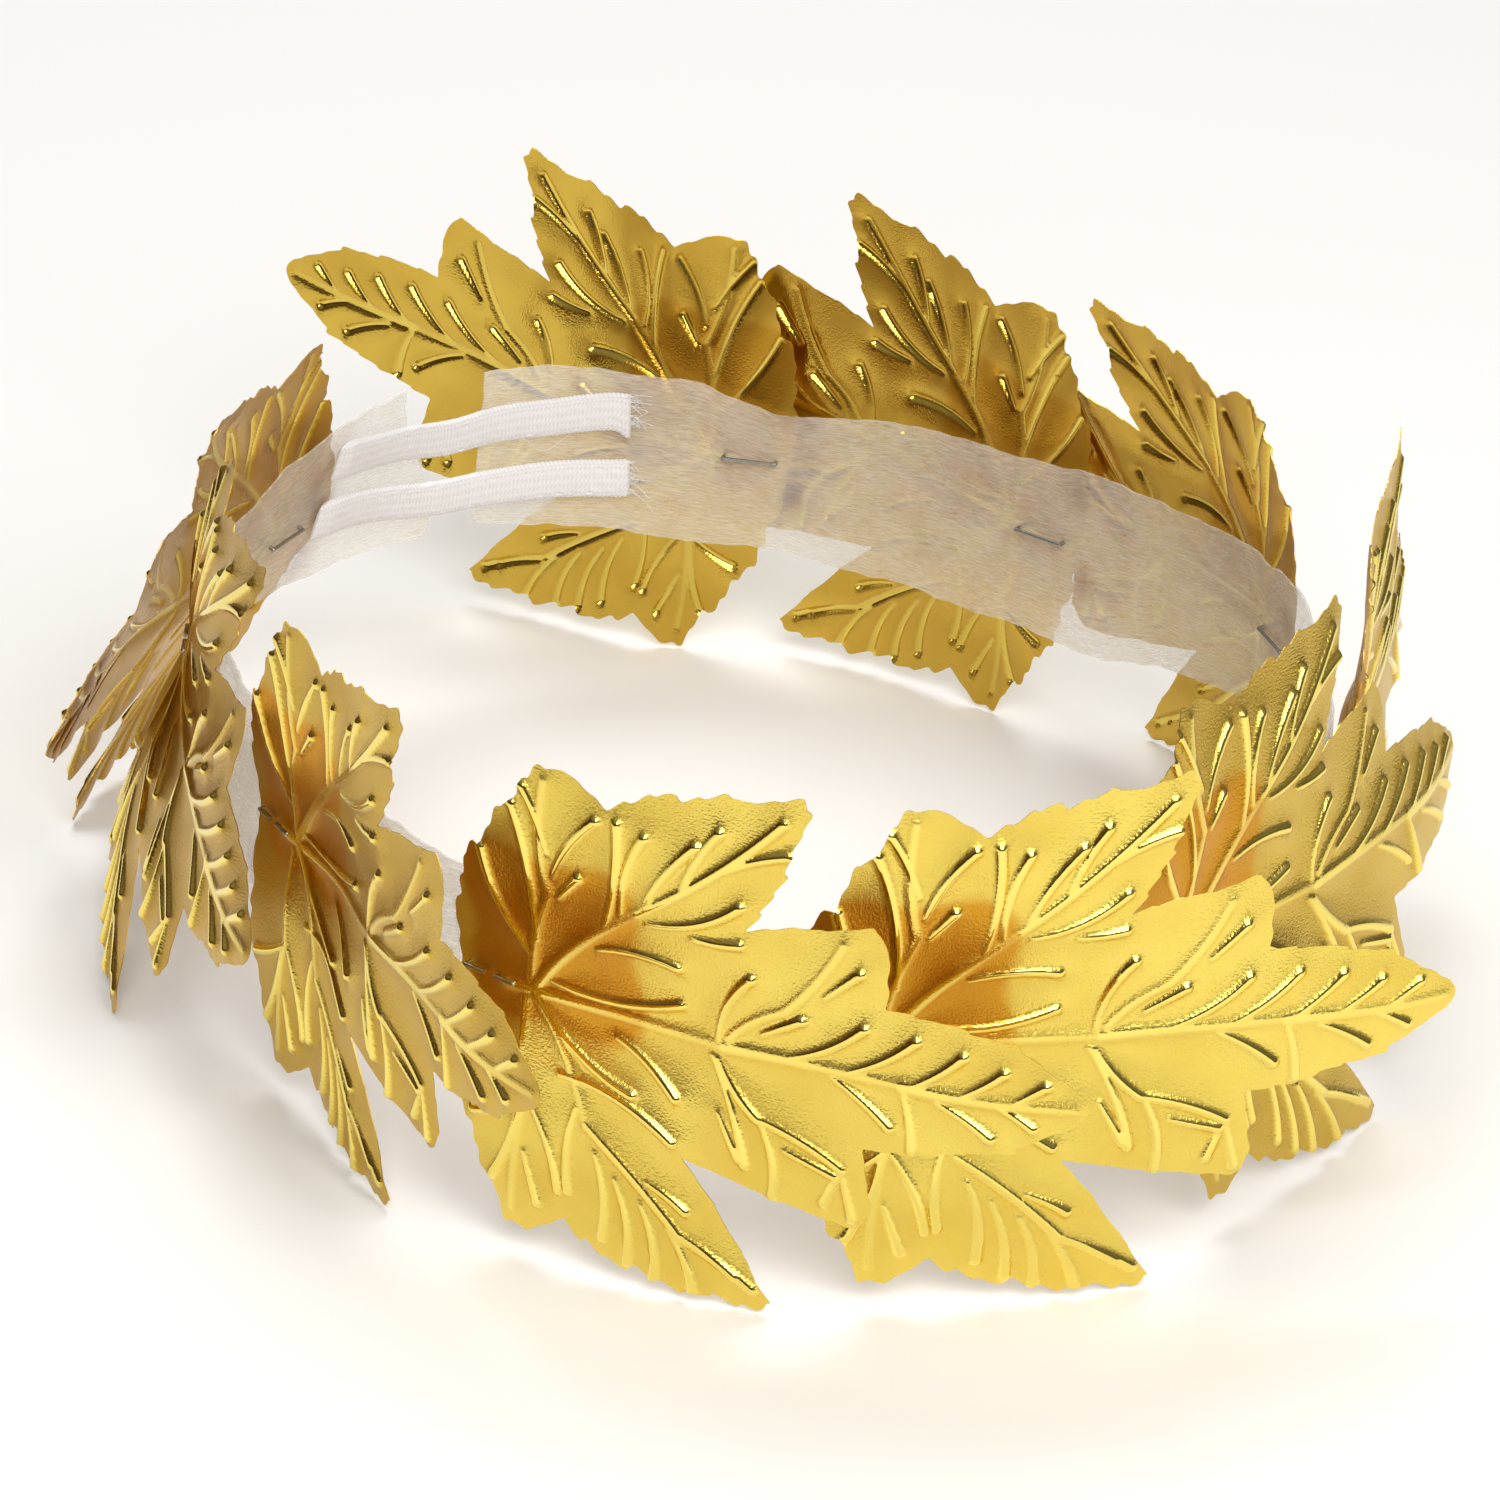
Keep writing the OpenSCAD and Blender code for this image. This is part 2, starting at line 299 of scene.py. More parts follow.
@dataclass(frozen=True)
class GoldFoil:
    """Metallised polyester foil, pressed on a fabric-backed die: satin gold with a faint linen grain.

    The outer face has a soft sheen, and the inner face is given a deeper gold and is glossier.
    The ribs' crests are polished, and a painted highlight makes them a little paler. The trough at the root
    has a painted orange reflection, and leaves turned from the light have painted copper shade.
    """

    name: str = "pressed gold foil"
    light: str = "#F1DA6C"
    deep: str = "#E6C858"
    # Painted shade for the leaves turned away from the light
    copper: str = "#B98F3E"
    # Painted reflection of gold in gold, in the trough at each leaf's root
    orange: str = "#D2921F"
    # Painted highlight: the ribs' crests are painted paler than the flats
    painted_crest_highlight: str = "#F2DC72"
    roughness: float = 0.37
    crest_roughness: float = 0.1
    cloud_mm: float = 20.0
    grain_mm: float = 0.26
    grain_depth_mm: float = 0.045
    sheet_mm: float = 120.0

    def material(self) -> Material:
        """Makes the foil's material on the leaf's own flat map.

        Returns:
            The material.
        """
        m = bare_material(self.name)
        flat = add_node(m, "TexCoord").outputs["UV"]
        threads = []
        for stretch in ((1, 0.5, 1), (0.5, 1, 1)):
            lay = add_node(m, "Mapping", inputs={"Vector": flat, "Scale": stretch})
            threads.append(add_node(m, "TexNoise", ON_PLANE, {
                "Vector": lay, "Scale": self.sheet_mm / self.grain_mm, "Detail": 0.0}))
        linen = add_node(m, "Math", {"operation": "ADD"}, {0: threads[0], 1: threads[1]})
        cloud = add_node(m, "TexNoise", ON_PLANE, {"Vector": flat, "Scale": self.sheet_mm / self.cloud_mm})
        satin = add_node(m, "MapRange", inputs={
            "Value": cloud, "From Min": 0.3, "From Max": 0.7,
            "To Min": self.roughness - 0.06, "To Max": self.roughness + 0.08})
        crest = add_node(m, "Attribute", {"attribute_name": "rib_crest"}).outputs["Fac"]
        rough = add_node(m, "Mix", inputs={0: crest, 2: satin, 3: self.crest_roughness})
        weave = add_node(m, "Math", {"operation": "SUBTRACT", "use_clamp": True}, {0: 1.0, 1: crest})
        tone = add_node(m, "Mix", OF_COLOURS, {0: cloud, 6: linear(self.light), 7: linear(self.deep)})
        # Painted shade on leaves turned from the light, a painted reflection in the root's trough and a
        # painted highlight on the ribs' crests
        for name, tint in (("painted_side_shade", self.copper), ("painted_root_reflection", self.orange), ("rib_crest", self.painted_crest_highlight)):
            share = add_node(m, "Attribute", {"attribute_name": name}).outputs["Fac"]
            tone = add_node(m, "Mix", OF_COLOURS, {0: share, 6: tone.outputs[2], 7: linear(tint)})
        grain = add_node(m, "Bump", inputs={
            "Height": linen, "Strength": weave, "Distance": self.grain_depth_mm * MM})
        shader = add_node(m, "BsdfPrincipled", inputs={
            "Base Color": tone.outputs[2], "Metallic": 1.0, "Roughness": rough, "Normal": grain})
        add_node(m, "OutputMaterial", inputs={"Surface": shader})
        return m


@dataclass(frozen=True)
class NonwovenFabric:
    """Bonded polypropylene non-woven: a milky web of lengthwise fibres that lets the gold show through.

    Single fibres are too fine to show, so they are drawn as bundles.
    """

    name: str = "bonded non-woven polypropylene"
    white: str = "#FAF7F0"
    fleck: str = "#BFA684"
    # Painted shadow colour for the grey spots on the band
    shade: str = "#B9ABB4"
    strip_mm: float = 600.0
    fibre_mm: float = 0.24
    fibre_width: float = 0.09
    fibre_rise_mm: float = 0.04
    cloud_mm: float = 9.0
    fleck_mm: float = 0.5
    fleck_width: float = 0.22
    open_share: float = 0.6
    open_spread: float = 0.16
    lit_through: float = 0.45

    def material(self) -> Material:
        """Makes the web's material on the strip's own flat map.

        Returns:
            The material.
        """
        m = bare_material(self.name)
        flat = add_node(m, "TexCoord").outputs["UV"]
        lay = add_node(m, "Mapping", inputs={"Vector": flat, "Scale": (self.fibre_width, 1, 1)})
        fibres = add_node(m, "TexNoise", ON_PLANE, {
            "Vector": lay, "Scale": self.strip_mm / self.fibre_mm, "Detail": 3.0, "Distortion": 0.6})
        cloud = add_node(m, "TexNoise", ON_PLANE, {"Vector": flat, "Scale": self.strip_mm / self.cloud_mm})
        web = add_node(m, "Math", {"operation": "MULTIPLY_ADD"}, {0: cloud, 1: 0.3, 2: fibres})
        open_web = add_node(m, "MapRange", inputs={
            "Value": web, "From Min": 0.45, "From Max": 0.85,
            "To Min": self.open_share + self.open_spread, "To Max": self.open_share - self.open_spread})
        lay = add_node(m, "Mapping", inputs={
            "Vector": flat, "Scale": (self.fleck_width, 1, 1), "Location": (3, 5, 0)})
        fleck = add_node(m, "TexNoise", ON_PLANE, {
            "Vector": lay, "Scale": self.strip_mm / self.fleck_mm, "Detail": 3.0})
        dark = add_node(m, "MapRange", inputs={"Value": fleck, "From Min": 0.68, "From Max": 0.86})
        tone = add_node(m, "Mix", OF_COLOURS, {0: dark, 6: linear(self.white), 7: linear(self.fleck)})
        # Grey spots of painted shadow
        spot = add_node(m, "Attribute", {"attribute_name": "painted_shadow_spot"}).outputs["Fac"]
        tone = add_node(m, "Mix", OF_COLOURS, {0: spot, 6: tone.outputs[2], 7: linear(self.shade)})
        rise = add_node(m, "Bump", inputs={
            "Height": web, "Strength": 1.0, "Distance": self.fibre_rise_mm * MM})
        face = add_node(m, "BsdfDiffuse", inputs={"Color": tone.outputs[2], "Normal": rise})
        through = add_node(m, "BsdfTranslucent", inputs={"Color": tone.outputs[2]})
        cloth = add_node(m, "MixShader", inputs={0: self.lit_through, 1: face, 2: through})
        clear = add_node(m, "BsdfTransparent")
        shader = add_node(m, "MixShader", inputs={0: open_web, 1: cloth, 2: clear})
        add_node(m, "OutputMaterial", inputs={"Surface": shader})
        return m


@dataclass(frozen=True)
class KnittedElastic:
    """Polyester-covered rubber, warp knitted flat: soft white yarn, with shaded furrows between chevrons.

    Single filaments are too fine to show, so the fuzz is drawn as coarse as the yarn.
    """

    name: str = "warp-knitted polyester elastic"
    yarn: str = "#FBFAFA"
    furrow: str = "#D9D6D9"
    strip_mm: float = 130.0
    filament_mm: float = 0.3
    fuzz_mm: float = 0.06

    def material(self) -> Material:
        """Makes the elastic's material on the strap's own flat map.

        Returns:
            The material.
        """
        m = bare_material(self.name)
        flat = add_node(m, "TexCoord").outputs["UV"]
        fuzz = add_node(m, "TexNoise", ON_PLANE, {"Vector": flat, "Scale": self.strip_mm / self.filament_mm})
        # Painted shade, darker in the furrows between the knit's chevrons
        hollow = add_node(m, "Attribute", {"attribute_name": "furrow"}).outputs["Fac"]
        mixed = add_node(m, "Math", {"operation": "MULTIPLY_ADD"}, {0: fuzz, 1: 0.35, 2: hollow})
        tone = add_node(m, "Mix", OF_COLOURS, {0: mixed, 6: linear(self.yarn), 7: linear(self.furrow)})
        rise = add_node(m, "Bump", inputs={"Height": fuzz, "Strength": 1.0, "Distance": self.fuzz_mm * MM})
        shader = add_node(m, "BsdfPrincipled", inputs={
            "Base Color": tone.outputs[2], "Roughness": 0.85, "Sheen Weight": 0.3, "Normal": rise})
        add_node(m, "OutputMaterial", inputs={"Surface": shader})
        return m


@dataclass(frozen=True)
class StapleWire:
    """Drawn steel wire, galvanised: a grey metal with fine draw marks that catch a bright line.

    The marks are drawn coarser than real ones, so that they show.
    """

    name: str = "galvanised drawn steel wire"
    zinc: str = "#C9C8C4"
    worn: str = "#77756F"
    mark_mm: float = 0.4

    def material(self) -> Material:
        """Makes the wire's material on object coordinates.

        Returns:
            The material.
        """
        m = bare_material(self.name)
        place = add_node(m, "TexCoord").outputs["Object"]
        marks = add_node(m, "TexNoise", inputs={"Vector": place, "Scale": 1 / (self.mark_mm * MM)})
        tone = add_node(m, "Mix", OF_COLOURS, {0: marks, 6: linear(self.zinc), 7: linear(self.worn)})
        rough = add_node(m, "MapRange", inputs={"Value": marks, "To Min": 0.2, "To Max": 0.45})
        shader = add_node(m, "BsdfPrincipled", inputs={
            "Base Color": tone.outputs[2], "Metallic": 1.0, "Roughness": rough})
        add_node(m, "OutputMaterial", inputs={"Surface": shader})
        return m


@dataclass(frozen=True)
class StudioPaper:
    """A matt white paper sweep under the crown, with a tooth that is coarser than the real one, to show."""

    name: str = "matt studio paper"
    white: str = "#F6F5F3"
    cells_a_metre: float = 900.0
    tooth_mm: float = 0.05

    def material(self) -> Material:
        """Makes the paper's material.

        Returns:
            The material.
        """
        m = bare_material(self.name)
        place = add_node(m, "TexCoord").outputs["Object"]
        tooth = add_node(m, "TexNoise", inputs={"Vector": place, "Scale": self.cells_a_metre})
        rise = add_node(m, "Bump", inputs={"Height": tooth, "Strength": 0.1, "Distance": self.tooth_mm * MM})
        shader = add_node(m, "BsdfPrincipled", inputs={
            "Base Color": linear(self.white), "Roughness": 0.9, "Specular IOR Level": 0.1, "Normal": rise})
        add_node(m, "OutputMaterial", inputs={"Surface": shader})
        return m


def deselect_all() -> None:
    """Leaves object mode with nothing selected."""
    if bpy.context.object is not None and bpy.context.object.mode != "OBJECT":
        bpy.ops.object.mode_set(mode="OBJECT")
    bpy.ops.object.select_all(action="DESELECT")


def select_only(piece: Piece) -> None:
    """Selects one piece alone, as the active one.

    Args:
        piece: The object.
    """
    deselect_all()
    piece.select_set(True)
    bpy.context.view_layer.objects.active = piece


def just_added(name: str) -> Piece:
    """Names the object that the last operator added.

    Args:
        name: The name of the object and of its data.

    Returns:
        The object.
    """
    piece = bpy.context.object
    piece.name = piece.data.name = name
    return piece


def vectors(items: bpy.types.bpy_prop_collection, name: str) -> Array:
    """Reads three numbers from each vertex or face.

    Args:
        items: The mesh's vertices or faces.
        name: The property to read.

    Returns:
        A row for each.
    """
    values = np.zeros(len(items) * 3, np.float32)
    items.foreach_get(name, values)
    return values.reshape(-1, 3)


def set_points(piece: Piece, points: Array) -> None:
    """Places a mesh's vertices, from a row of millimetres for each."""
    piece.data.vertices.foreach_set("co", (points * MM).astype(np.float32).ravel())
    piece.data.update()


def set_flat_map(piece: Piece, flat: Array) -> None:
    """Gives a mesh its flat cut as a UV map.

    Args:
        piece: The object.
        flat: A place on the map for each vertex.
    """
    layer = piece.data.uv_layers[0] if piece.data.uv_layers else piece.data.uv_layers.new(name="flat_cut")
    corner = np.zeros(len(piece.data.loops), np.int32)
    piece.data.loops.foreach_get("vertex_index", corner)
    layer.data.foreach_set("uv", flat[corner].astype(np.float32).ravel())


def set_share(piece: Piece, name: str, share: Array) -> None:
    """Stores a number for each vertex under a name that a finish reads."""
    piece.data.attributes.new(name, "FLOAT", "POINT").data.foreach_set("value", share.astype(np.float32))


def flat_cloth(name: str, steps_along: int, steps_across: int) -> tuple[Piece, Array, Array]:
    """Lays out a plain grid to be shaped into a strip.

    Args:
        name: The piece's name.
        steps_along: Cells along the strip.
        steps_across: Cells across it.

    Returns:
        The object, and each vertex's share along and across.
    """
    deselect_all()
    bpy.ops.mesh.primitive_grid_add(x_subdivisions=steps_along, y_subdivisions=steps_across, size=1)
    piece = just_added(name)
    place = vectors(piece.data.vertices, "co").astype(float) + 0.5
    return piece, place[:, 0], place[:, 1]


def thicken(piece: Piece, wall_mm: float) -> None:
    """Gives a sheet its wall, half to each side, and applies it.

    Args:
        piece: The sheet.
        wall_mm: The wall.
    """
    select_only(piece)
    wall = piece.modifiers.new("wall", "SOLIDIFY")
    wall.thickness = wall_mm * MM
    wall.offset = 0
    wall.material_offset = 1 if len(piece.data.materials) > 1 else 0
    bpy.ops.object.modifier_apply(modifier=wall.name)


def finish_piece(piece: Piece, slot: str, *nodes: str, smooth: float = 40.0) -> None:
    """Shades a piece, and ties it to the frame in the place of its CAD nodes.

    Args:
        piece: The object.
        slot: A material slot's name; not used.
        nodes: CAD nodes that it stands for.
        smooth: Angle in degrees over which an edge stays sharp.
    """
    select_only(piece)
    bpy.ops.object.shade_smooth_by_angle(angle=math.radians(smooth))
    piece.select_set(False)
    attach(piece, "root")
    if nodes:
        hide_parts(*nodes)
    LOG.info("%s: %d faces", piece.name, len(piece.data.polygons))


@dataclass(frozen=True)
class Ring:
    """The oval that the band follows, pushed in and leant as the soft ring is."""

    width: float = 168
    length: float = 210
    first_at: float = 122
    pitch: float = 34

    def leaf_rows(self) -> list[tuple[float, ...]]:
        """A row for each leaf: angle, inset, lean, tilt, flare, curl, staple."""
        return [(self.first_at + self.pitch * (i + b[0] / 100), *b[1:]) for i, b in enumerate(BENDS)]

    def rows(self) -> list[tuple[float, ...]]:
        """The leaves' rows, run on past both ends of the ring."""
        own = self.leaf_rows()
        return [(own[-1][0] - 360, *own[-1][1:]), *own, (own[0][0] + 360, *own[0][1:])]

    def point(self, t: Array) -> Array:
        """The ring seen from above.

        Args:
            t: Angles in degrees.

        Returns:
            Points on the band's outer face.
        """
        a = np.radians(t)
        oval = np.stack([self.width / 2 * np.cos(a), self.length / 2 * np.sin(a)], -1)
        out = unit(np.stack([self.length * np.cos(a), self.width * np.sin(a)], -1))
        return oval - out * (eased(self.rows(), 1, t) / 100 * self.width)[..., None]

    def step(self, t: Array) -> Array:
        """The way that one degree takes along the ring."""
        return self.point(t + 0.5) - self.point(t - 0.5)

    def speed(self, t: float) -> float:
        """Millimetres along the ring for one degree."""
        return float(np.linalg.norm(self.step(np.array([t]))))

    def paces(self, t: Array) -> Array:
        """Millimetres along the ring from each angle to the next."""
        return np.linalg.norm(np.diff(self.point(t), axis=0), axis=1)

    def beside(self, t: Array, out: Array, up: Array, level: float) -> Array:
        """Points beside the ring.

        Args:
            t: Angles in degrees.
            out: Distance out from the band's outer face.
            up: Distance up along the ring's lean.
            level: Height of the ring's middle.

        Returns:
            Points in space.
        """
        lean = np.radians(eased(self.rows(), 2, t))
        n = outward(unit(self.step(t)))
        plan = self.point(t) + n * (out * np.cos(lean) + up * np.sin(lean))[..., None]
        return np.concatenate([plan, (level + up * np.cos(lean) - out * np.sin(lean))[..., None]], -1)


@dataclass(frozen=True)
class LeafForm:
    """How a flat leaf bends round the ring, with the same sizes as the part's source."""

    ring: Ring = Ring()
    length: float = 84
    width: float = 80
    tooth_h: float = 1.5
    tooth_lean: float = 0.3
    solid_t: float = 0.5
    lay_gap: float = 0.3
    flare: float = 5
    curl: float = 25
    trough_d: float = 3
    trough_w: float = 12
    trough_fade: float = 40
    turn_l: float = 24
    bend_steps: int = 12
    heart: Pair = (5, 0)
    staple_back: float = 55
    rear_share: float = 0.17

    def flat(self, ahead: float, above: float) -> Array:
        """A place on the flat leaf from its shares."""
        return np.array([ahead / 100 * self.length, above / 100 * self.width / 2])

    def edge_from(self, k: int) -> list[Array]:
        """The feet and tips of the teeth from one corner to the next.

        Args:
            k: The corner.

        Returns:
            Points on the flat leaf.
        """
        corner, following = CORNERS[k], CORNERS[(k + 1) % len(CORNERS)]
        start = self.flat(*corner[:2])
        way = self.flat(*following[:2]) - start
        middle = self.flat(*self.heart)
        rising = np.linalg.norm(start + way - middle) > np.linalg.norm(start - middle)
        tip = 1 - self.tooth_lean if rising else self.tooth_lean
        points = []
        for tooth in range(corner[2]):
            for part in (0, tip):
                s = (tooth + part) / corner[2]
                place = start + way * s
                bow = corner[3] / 100 * np.linalg.norm(way) * 4 * s * (1 - s)
                points.append(place + unit(place - middle) * (bow + (self.tooth_h if part else 0)))
        return points

    def point(self, i: int, flat: Array, out: Array, above: float = 0.0) -> Array:
        """Bends a flat leaf to its place on the ring.

        Args:
            i: The leaf.
            flat: Places on the flat leaf.
            out: Distance out from the foil's middle.
            above: Height of the leaf's root above the band's level.

        Returns:
            Points in space, with the root at height 0.
        """
        at, _, lean_deg, tilt, more_flare, more_curl, _ = self.ring.leaf_rows()[i]
        seat = self.lay_gap + self.solid_t / 2
        one = np.array([at])
        step = self.ring.step(one)
        root_way = unit(step)[0]
        root = self.ring.point(one)[0] + outward(root_way) * seat
        place = turned(flat, tilt)
        u, v = place[:, 0], place[:, 1]

        def way(along: Array) -> Array:
            """The middle line's direction ahead of the root."""
            curled = (self.curl + more_curl) * along / self.length
            return turned(root_way, curled - (self.flare + more_flare) * ease(along / self.turn_l))

        behind_t = at + u / np.linalg.norm(step)
        behind_way = unit(self.ring.step(behind_t))
        behind = self.ring.point(behind_t) + outward(behind_way) * seat
        dirs = [way(u * (k + 0.5) / self.bend_steps) for k in range(self.bend_steps)]
        ahead = root + np.mean(dirs, axis=0) * u[:, None]
        back = (u < 0)[:, None]
        line = np.where(back, behind, ahead)
        n = outward(np.where(back, behind_way, way(u)))
        lean = math.radians(lean_deg)
        fade = 1 - ease((u - self.trough_w) / self.trough_fade)
        raised = self.trough_d * fade * (1 - np.exp(-(v / self.trough_w) ** 2)) + out
        plan = line + n * (raised * math.cos(lean) + v * math.sin(lean) + above * math.tan(lean))[:, None]
        return np.concatenate([plan, (v * math.cos(lean) - raised * math.sin(lean))[:, None]], -1)

    def feet(self) -> list[float]:
        """The height of each leaf's root when its lowest tip stands on the ground.

        Returns:
            A height for each leaf.
        """
        edge = np.array([p for k in range(len(CORNERS)) for p in self.edge_from(k)])
        half = self.solid_t / 2
        return [-min(self.point(i, edge, np.full(len(edge), side))[:, 2].min() for side in (-half, half))
                for i in range(len(BENDS))]

    def level(self) -> float:
        """The height of the ring's middle."""
        feet = self.feet()
        return sum(feet) / len(feet)

    def staple_at(self, i: int) -> float:
        """The place of a leaf's staple.

        Args:
            i: The leaf.

        Returns:
            Its angle round the ring.
        """
        row = self.ring.leaf_rows()[i]
        back = (self.staple_back - row[-1]) / 100 * (self.rear_share * self.length)
        return row[0] - back / self.ring.speed(row[0])


@dataclass(frozen=True)
class LeafBlank:
    """The flat die-cut and embossed leaf that all ten leaves are bent from."""

    form: LeafForm = LeafForm()
    fine_mm: float = 0.375
    coarse_step: int = 4
    rib_reach_mm: float = 1.4
    rib_steps: int = 10
    edge_mm: float = 0.7
    scallop_mm: float = 4.0
    scallop_h: float = 1.6
    scallop_calm: float = 0.35
    scallop_spread: Pair = (0.5, 1.3)
    scallop_peak: float = 0.7
    scallop_rise: float = 1.4
    scallop_fall: float = 0.3
    inside_mm: float = 0.7
    mound_w: float = 2.6
    mound_h: float = 0.5
    crest_sharp: float = 1.25
    edge_clear: float = 0.45
    seed: int = 7

    def cut_edge(self) -> Array:
        """The outline: the source's teeth, rounded, with the finer scallops of the real cut between them.

        Returns:
            Points round the edge on the flat leaf.
        """
        rng = np.random.default_rng(self.seed)
        middle = self.form.flat(*self.form.heart)
        points: list[Array] = []
        for k, corner in enumerate(CORNERS):
            feet = self.form.edge_from(k)
            run = [*feet, self.form.flat(*CORNERS[(k + 1) % len(CORNERS)][:2])]
            whole = sum(np.linalg.norm(b - a) for a, b in zip(run, run[1:]))
            count = max(1, round(whole / self.scallop_mm))
            calm = 1.0 if corner[2] > 1 else self.scallop_calm
            height = self.scallop_h * calm * rng.uniform(*self.scallop_spread, count)
            done = 0.0
            rising = np.linalg.norm(run[-1] - middle) > np.linalg.norm(run[0] - middle)
            for a, b in zip(run, run[1:]):
                length = np.linalg.norm(b - a)
                for s in np.arange(0, length, self.edge_mm):
                    share = (done + s) / whole * count
                    part = share % 1 if rising else 1 - share % 1
                    rising_side = part * self.scallop_rise
                    falling_side = (1 - part) / self.scallop_fall
                    wave = rising_side if part < self.scallop_peak else falling_side
                    lift = height[min(int(share), count - 1)] * wave
                    place = a + (b - a) * s / length
                    points.append(place + unit(place - middle) * (lift - self.inside_mm))
                done += length
        edge = np.array(points)
        return (np.roll(edge, 1, 0) + 2 * edge + np.roll(edge, -1, 0)) / 4

    def rib_segments(self) -> Array:
        """All ribs as short straight pieces.

        Returns:
            Rows of start, end, then half width and height at both ends.
        """
        rows = []
        s = np.linspace(0, 1, self.rib_steps + 1)[:, None]
        for kind, ribs in RIBS.items():
            w0, h0, w1, h1 = kind.value
            w = w0 + (w1 - w0) * s[:, 0]
            h = h0 + (h1 - h0) * s[:, 0]
            for u0, v0, u1, v1, bow in ribs:
                a, b = self.form.flat(u0, v0), self.form.flat(u1, v1)
                side = np.array([-(b - a)[1], (b - a)[0]]) * bow / 100
                line = a + (b - a) * s + side * 4 * s * (1 - s)
                rows.append(np.column_stack([line[:-1], line[1:], w[:-1], w[1:], h[:-1], h[1:]]))
        return np.concatenate(rows)

    def relief(self, flat: Array) -> tuple[Array, Array]:
        """The height pressed into the foil.

        Args:
            flat: Places on the flat leaf.

        Returns:
            The height at each place, and its distance to the nearest rib.
        """
        crest = np.zeros(len(flat))
        near = np.full(len(flat), 1e9)
        for x0, y0, x1, y1, w0, w1, h0, h1 in self.rib_segments():
            way = np.array([x1 - x0, y1 - y0])
            s = np.clip(((flat - (x0, y0)) @ way) / (way @ way), 0, 1)
            d = np.hypot(flat[:, 0] - x0 - way[0] * s, flat[:, 1] - y0 - way[1] * s)
            w = w0 + (w1 - w0) * s
            h = h0 + (h1 - h0) * s
            crest = np.maximum(crest, h * ease(self.crest_sharp * (1 - d / w)))
            near = np.minimum(near, d)
        return crest + self.mound_h * np.exp(-(near / self.mound_w) ** 2), near

    def mesh(self) -> tuple[Array, list[tuple[int, ...]], Array]:
        """Fills the cut with a lattice that is fine along the ribs.

        Returns:
            Places on the flat leaf, triangles, and the relief at each place.
        """
        edge = self.cut_edge()
        low, high = edge.min(0), edge.max(0)
        rows = np.arange(low[1], high[1], self.fine_mm * math.sqrt(0.75))
        cells = np.arange(low[0], high[0], self.fine_mm)
        j, i = np.meshgrid(np.arange(len(rows)), np.arange(len(cells)), indexing="ij")
        lattice = np.stack([cells[i] + self.fine_mm / 2 * (j % 2), rows[j]], -1).reshape(-1, 2)
        coarse = ((i + j // 2) % self.coarse_step == 0) & (j % self.coarse_step == 0)
        near = self.relief(lattice)[1]
        lattice = lattice[(near < self.rib_reach_mm) | coarse.ravel()]
        inside = np.zeros(len(lattice), bool)
        clear = np.full(len(lattice), 1e9)
        for a, b in zip(edge, np.roll(edge, -1, 0)):
            crosses = (a[1] > lattice[:, 1]) != (b[1] > lattice[:, 1])
            if crosses.any():
                x = a[0] + (lattice[:, 1] - a[1]) * (b[0] - a[0]) / (b[1] - a[1] if b[1] != a[1] else 1e-9)
                inside ^= crosses & (lattice[:, 0] < x)
            clear = np.minimum(clear, np.hypot(*(lattice - a).T))
        lattice = lattice[inside & (clear > self.edge_clear * self.edge_mm)]
        flat = np.concatenate([edge, lattice])
        made = delaunay_2d_cdt([Vector(p) for p in flat], [], [list(range(len(edge)))], 1, 1e-5)
        flat = np.array([tuple(v) for v in made[0]])
        return flat, [tuple(f) for f in made[2]], self.relief(flat)[0]


